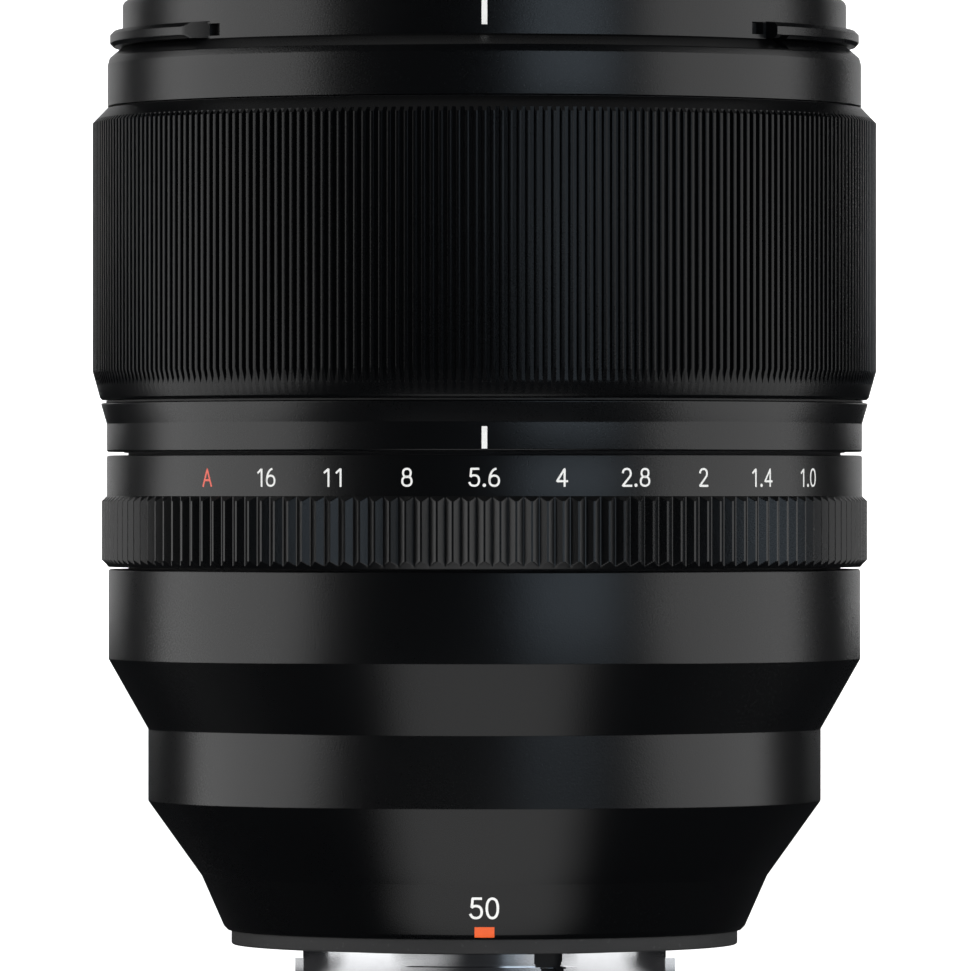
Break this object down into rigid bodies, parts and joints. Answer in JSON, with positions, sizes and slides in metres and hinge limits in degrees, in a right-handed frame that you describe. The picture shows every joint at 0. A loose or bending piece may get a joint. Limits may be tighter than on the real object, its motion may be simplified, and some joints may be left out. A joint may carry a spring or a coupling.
{
  "type": "prime camera lens",
  "caption": "Fast autofocus prime lens with a ribbed focus ring, a ridged aperture ring, a bladed iris, a cam-driven focus group and a bayonet mount.",
  "frame": {"origin": "centre of the mount's flange plane, on the optical axis", "axes": "+Z along the optical axis to the front of the lens; -Y through the index marks; +X to the right seen from the index side"},
  "size_m": [0.087, 0.087, 0.1087],
  "materials": {
    "black_anodised": "satin black anodised aluminium",
    "inner_black": "matt black anodised aluminium",
    "index_red": "satin orange-red paint",
    "seal_rubber": "matt moulded rubber",
    "mount_chrome": "polished chrome plate on brass",
    "screw_steel": "bright steel",
    "contact_plastic": "matt black moulded plastic",
    "contact_gold": "gold flash on brass",
    "coated_glass": "optical glass with anti-reflection coating",
    "motor_steel": "nickel-plated steel",
    "pinion_brass": "cut brass",
    "blade_black": "blackened spring steel",
    "board_green": "green circuit board",
    "flex_amber": "amber polyimide film",
    "slip_plastic": "low-friction plastic",
    "code_band": "magnetic tape"
  },
  "bodies": {
    "root": {"front_barrel": "black_anodised", "rear_barrel": "black_anodised", "index_ring": "black_anodised", "name_ring": "inner_black", "main_barrel": "inner_black", "front_cell": "inner_black", "front_retainer": "inner_black", "front_spacer": "inner_black", "rear_cell": "inner_black", "iris_base_plate": "inner_black", "iris_cover": "inner_black", "guide_barrel": "inner_black", "rear_baffle": "inner_black", "mount_index_bar": "index_red", "mount_seal": "seal_rubber", "mount_plate": "mount_chrome", "mount_screws": "screw_steel", "barrel_screws": "screw_steel", "click_ball": "screw_steel", "click_spring": "screw_steel", "cam_retaining_ring": "screw_steel", "contact_block": "contact_plastic", "focus_sensor": "contact_plastic", "contact_pads": "contact_gold", "front_element_1": "coated_glass", "front_element_2": "coated_glass", "front_element_3": "coated_glass", "front_element_4": "coated_glass", "rear_element_1": "coated_glass", "rear_element_2": "coated_glass", "iris_motor": "motor_steel", "focus_motor": "motor_steel", "main_board": "board_green", "flex_cable": "flex_amber", "slip_ring": "slip_plastic"},
    "focus_ring": {"focus_ring": "black_anodised", "focus_code_band": "code_band"},
    "aperture_ring": {"aperture_ring": "black_anodised", "aperture_code_band": "code_band"},
    "iris_drive": {"iris_drive_ring": "motor_steel"},
    "iris_pinion": {"iris_pinion": "pinion_brass"},
    "blade_1": {"iris_blade_1": "blade_black"},
    "blade_2": {"iris_blade_2": "blade_black"},
    "blade_3": {"iris_blade_3": "blade_black"},
    "blade_4": {"iris_blade_4": "blade_black"},
    "blade_5": {"iris_blade_5": "blade_black"},
    "blade_6": {"iris_blade_6": "blade_black"},
    "blade_7": {"iris_blade_7": "blade_black"},
    "blade_8": {"iris_blade_8": "blade_black"},
    "blade_9": {"iris_blade_9": "blade_black"},
    "cam": {"focus_cam_ring": "motor_steel"},
    "focus_pinion": {"focus_pinion": "pinion_brass"},
    "focus_group": {"focus_cell": "inner_black", "focus_retainer": "inner_black", "cam_followers": "contact_gold", "focus_element_1": "coated_glass", "focus_element_2": "coated_glass", "focus_element_3": "coated_glass"}
  },
  "joints": [
    {"name": "focus_ring_turn", "type": "hinge", "parent": "root", "child": "focus_ring", "pos_m": [0, 0, 0.075], "axis": [0, 0, 1], "continuous": true},
    {"name": "aperture_ring_turn", "type": "hinge", "parent": "root", "child": "aperture_ring", "pos_m": [0, 0, 0.047], "axis": [0, 0, 1], "range_deg": [-57.25, 45.8]},
    {"name": "iris_ring_turn", "type": "hinge", "parent": "root", "child": "iris_drive", "pos_m": [0, 0, 0.0604], "axis": [0, 0, 1], "range_deg": [0, 24.29]},
    {"name": "iris_pinion_turn", "type": "hinge", "parent": "root", "child": "iris_pinion", "pos_m": [-0.03458, -0.01259, 0.0604], "axis": [0, 0, 1], "range_deg": [-535, 1]},
    {"name": "blade_1_turn", "type": "hinge", "parent": "root", "child": "blade_1", "pos_m": [0.033, 0, 0.0585], "axis": [0, 0, 1], "range_deg": [0, 34.71]},
    {"name": "blade_2_turn", "type": "hinge", "parent": "root", "child": "blade_2", "pos_m": [0.02528, 0.02121, 0.0585], "axis": [0, 0, 1], "range_deg": [0, 34.71]},
    {"name": "blade_3_turn", "type": "hinge", "parent": "root", "child": "blade_3", "pos_m": [0.00573, 0.0325, 0.0585], "axis": [0, 0, 1], "range_deg": [0, 34.71]},
    {"name": "blade_4_turn", "type": "hinge", "parent": "root", "child": "blade_4", "pos_m": [-0.0165, 0.02858, 0.0585], "axis": [0, 0, 1], "range_deg": [0, 34.71]},
    {"name": "blade_5_turn", "type": "hinge", "parent": "root", "child": "blade_5", "pos_m": [-0.03101, 0.01129, 0.0585], "axis": [0, 0, 1], "range_deg": [0, 34.71]},
    {"name": "blade_6_turn", "type": "hinge", "parent": "root", "child": "blade_6", "pos_m": [-0.03101, -0.01129, 0.0585], "axis": [0, 0, 1], "range_deg": [0, 34.71]},
    {"name": "blade_7_turn", "type": "hinge", "parent": "root", "child": "blade_7", "pos_m": [-0.0165, -0.02858, 0.0585], "axis": [0, 0, 1], "range_deg": [0, 34.71]},
    {"name": "blade_8_turn", "type": "hinge", "parent": "root", "child": "blade_8", "pos_m": [0.00573, -0.0325, 0.0585], "axis": [0, 0, 1], "range_deg": [0, 34.71]},
    {"name": "blade_9_turn", "type": "hinge", "parent": "root", "child": "blade_9", "pos_m": [0.02528, -0.02121, 0.0585], "axis": [0, 0, 1], "range_deg": [0, 34.71]},
    {"name": "focus_cam_turn", "type": "hinge", "parent": "root", "child": "cam", "pos_m": [0, 0, 0.039], "axis": [0, 0, 1], "range_deg": [0, 60]},
    {"name": "focus_pinion_turn", "type": "hinge", "parent": "root", "child": "focus_pinion", "pos_m": [0.01395, 0.02991, 0.03], "axis": [0, 0, 1], "range_deg": [-601, 1]},
    {"name": "focus_group_slide", "type": "slide", "parent": "root", "child": "focus_group", "axis": [0, 0, 1], "range_m": [0, 0.00601]}
  ],
  "couplings": [
    {"joint": "iris_pinion_turn", "follows": "iris_ring_turn", "ratio": -22},
    {"joint": "blade_1_turn", "follows": "iris_ring_turn", "ratio": 1.4286},
    {"joint": "blade_2_turn", "follows": "iris_ring_turn", "ratio": 1.4286},
    {"joint": "blade_3_turn", "follows": "iris_ring_turn", "ratio": 1.4286},
    {"joint": "blade_4_turn", "follows": "iris_ring_turn", "ratio": 1.4286},
    {"joint": "blade_5_turn", "follows": "iris_ring_turn", "ratio": 1.4286},
    {"joint": "blade_6_turn", "follows": "iris_ring_turn", "ratio": 1.4286},
    {"joint": "blade_7_turn", "follows": "iris_ring_turn", "ratio": 1.4286},
    {"joint": "blade_8_turn", "follows": "iris_ring_turn", "ratio": 1.4286},
    {"joint": "blade_9_turn", "follows": "iris_ring_turn", "ratio": 1.4286},
    {"joint": "focus_pinion_turn", "follows": "focus_cam_turn", "ratio": -10},
    {"joint": "focus_group_slide", "follows": "focus_cam_turn", "m_per_rad": 0.0057296}
  ]
}
